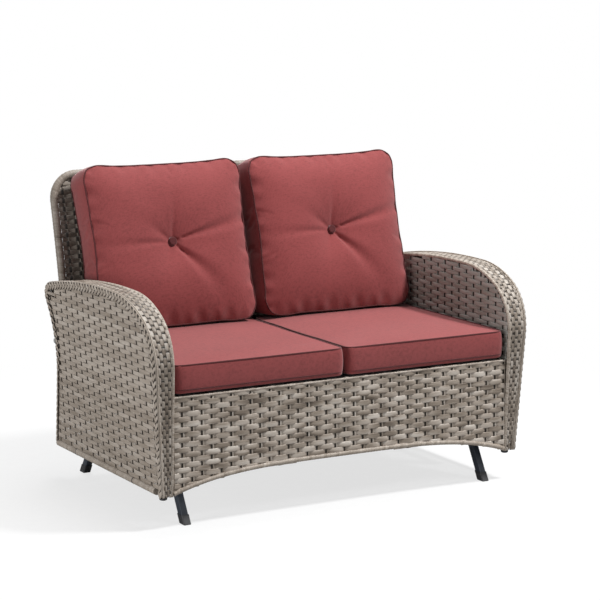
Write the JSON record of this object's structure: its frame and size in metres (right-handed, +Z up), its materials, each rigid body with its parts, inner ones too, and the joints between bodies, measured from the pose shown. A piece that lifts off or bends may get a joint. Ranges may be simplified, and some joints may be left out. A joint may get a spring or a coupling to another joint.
{
  "type": "patio loveseat glider",
  "caption": "Woven resin loveseat glider: curved arms, boxed seat cushions, tufted back cushions, and a seat that swings on links from a splayed steel base.",
  "frame": {"origin": "on the floor, under the middle of the overall box", "axes": "+X to the right of someone facing the seat, +Y to the back, +Z up"},
  "size_m": [1.27, 0.81, 0.9755],
  "materials": {
    "wicker": "matte",
    "wrapped_tube": "matte",
    "frame_paint": "satin",
    "base_paint": "satin",
    "black_plastic": "matte",
    "cushion_fabric": "matte",
    "webbing": "matte",
    "zinc": "satin"
  },
  "bodies": {
    "base": {"left_front_leg": "base_paint", "left_front_foot": "black_plastic", "left_rear_leg": "base_paint", "left_rear_foot": "black_plastic", "left_top_bar": "base_paint", "right_front_leg": "base_paint", "right_front_foot": "black_plastic", "right_rear_leg": "base_paint", "right_rear_foot": "black_plastic", "right_top_bar": "base_paint", "front_stretcher": "base_paint", "rear_stretcher": "base_paint", "upper_pivot_bolts": "zinc"},
    "left_front_link": {"left_front_hanger": "base_paint", "left_front_hanger_bearings": "zinc"},
    "left_rear_link": {"left_rear_hanger": "base_paint", "left_rear_hanger_bearings": "zinc"},
    "right_front_link": {"right_front_hanger": "base_paint", "right_front_hanger_bearings": "zinc"},
    "right_rear_link": {"right_rear_hanger": "base_paint", "right_rear_hanger_bearings": "zinc"},
    "seat": {"left_front_drop_post": "frame_paint", "left_rear_drop_post": "frame_paint", "left_runner_rail": "frame_paint", "left_deck_beam": "frame_paint", "left_front_post": "frame_paint", "left_side_loop": "wrapped_tube", "left_arm_inner_edge": "wrapped_tube", "left_arm_band": "wicker", "left_side_skin": "wicker", "left_inner_skin": "wicker", "left_seat_cushion": "cushion_fabric", "left_back_cushion": "cushion_fabric", "right_front_drop_post": "frame_paint", "right_rear_drop_post": "frame_paint", "right_runner_rail": "frame_paint", "right_deck_beam": "frame_paint", "right_front_post": "frame_paint", "right_side_loop": "wrapped_tube", "right_arm_inner_edge": "wrapped_tube", "right_arm_band": "wicker", "right_side_skin": "wicker", "right_inner_skin": "wicker", "right_seat_cushion": "cushion_fabric", "right_back_cushion": "cushion_fabric", "front_deck_rail": "frame_paint", "rear_deck_rail": "frame_paint", "centre_deck_beam": "frame_paint", "cross_straps": "webbing", "deep_straps": "webbing", "front_skirt": "wicker", "rear_skirt": "wicker", "front_arch_rod": "wrapped_tube", "rear_arch_rod": "wrapped_tube", "back_frame": "wrapped_tube", "back_panel": "wicker", "cushion_buttons": "cushion_fabric", "post_caps": "black_plastic", "lower_pivot_bolts": "zinc", "frame_bolts": "zinc"}
  },
  "joints": [
    {"name": "glide", "type": "hinge", "parent": "base", "child": "left_front_link", "pos_m": [-0.5265, -0.14, 0.292], "axis": [1, 0, 0], "range_deg": [-17, 17]},
    {"name": "left_rear_glide", "type": "hinge", "parent": "base", "child": "left_rear_link", "pos_m": [-0.5265, 0.095, 0.292], "axis": [1, 0, 0], "range_deg": [-17, 17]},
    {"name": "right_front_glide", "type": "hinge", "parent": "base", "child": "right_front_link", "pos_m": [0.5265, -0.14, 0.292], "axis": [1, 0, 0], "range_deg": [-17, 17]},
    {"name": "right_rear_glide", "type": "hinge", "parent": "base", "child": "right_rear_link", "pos_m": [0.5265, 0.095, 0.292], "axis": [1, 0, 0], "range_deg": [-17, 17]},
    {"name": "seat_level", "type": "hinge", "parent": "left_front_link", "child": "seat", "pos_m": [-0.5265, -0.14, 0.127], "axis": [1, 0, 0], "range_deg": [-17, 17]}
  ],
  "couplings": [
    {"joint": "left_rear_glide", "follows": "glide", "ratio": 1},
    {"joint": "right_front_glide", "follows": "glide", "ratio": 1},
    {"joint": "right_rear_glide", "follows": "glide", "ratio": 1},
    {"joint": "seat_level", "follows": "glide", "ratio": -1}
  ]
}
